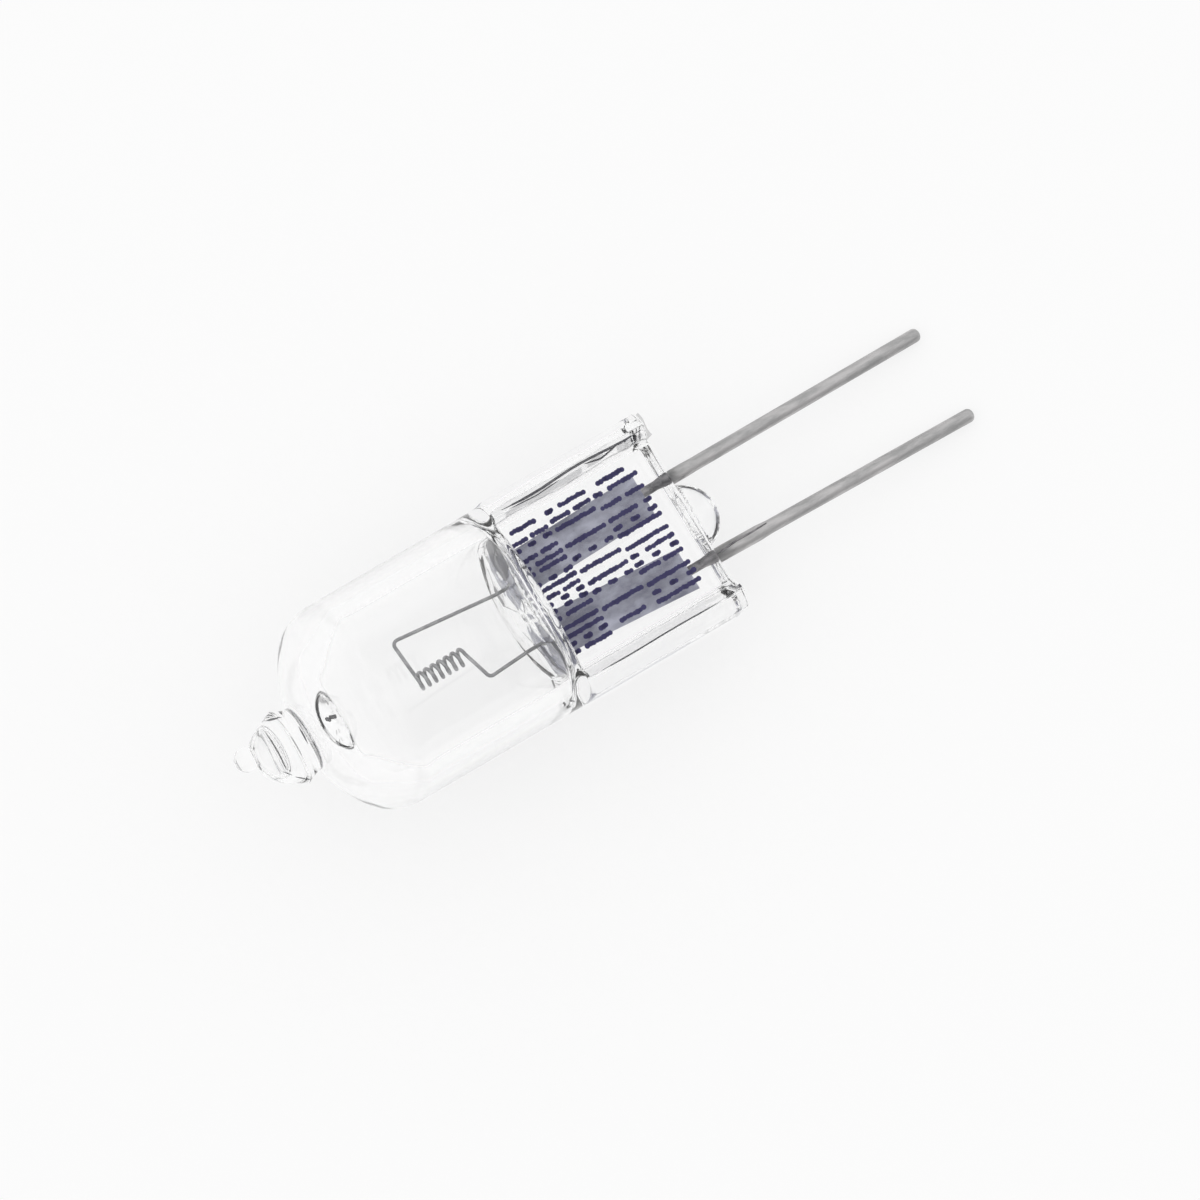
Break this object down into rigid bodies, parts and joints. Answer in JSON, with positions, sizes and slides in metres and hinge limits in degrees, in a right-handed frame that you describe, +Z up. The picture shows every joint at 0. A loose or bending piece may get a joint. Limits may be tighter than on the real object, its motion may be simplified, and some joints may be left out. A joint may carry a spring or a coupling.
{
  "type": "halogen capsule bulb",
  "caption": "Halogen capsule bulb: clear quartz bulb with domed end and exhaust tip, coiled filament, flat pinch with foil strips and side flanges, straight round contact pins.",
  "frame": {"origin": "middle of the lamp's outline on the surface it lies on", "axes": "+X along the lamp towards the pin tips, +Y from pin 2 to pin 1, +Z up; the lamp lies on its bulb and its pin tips, so its axis drops towards +X"},
  "size_m": [0.0342, 0.0094, 0.0107],
  "materials": {
    "quartz": "clear, polished",
    "tungsten": "drawn wire, satin",
    "molybdenum": "rolled foil, satin",
    "lead": "drawn rod, dull",
    "pin": "drawn rod, dull",
    "ink": "printed, matt"
  },
  "bodies": {
    "root": {"envelope": "quartz", "filament": "tungsten", "foil_1": "molybdenum", "foil_2": "molybdenum", "inner_lead_1": "lead", "inner_lead_2": "lead", "contact_pin_1": "pin", "contact_pin_2": "pin"}
  },
  "joints": []
}
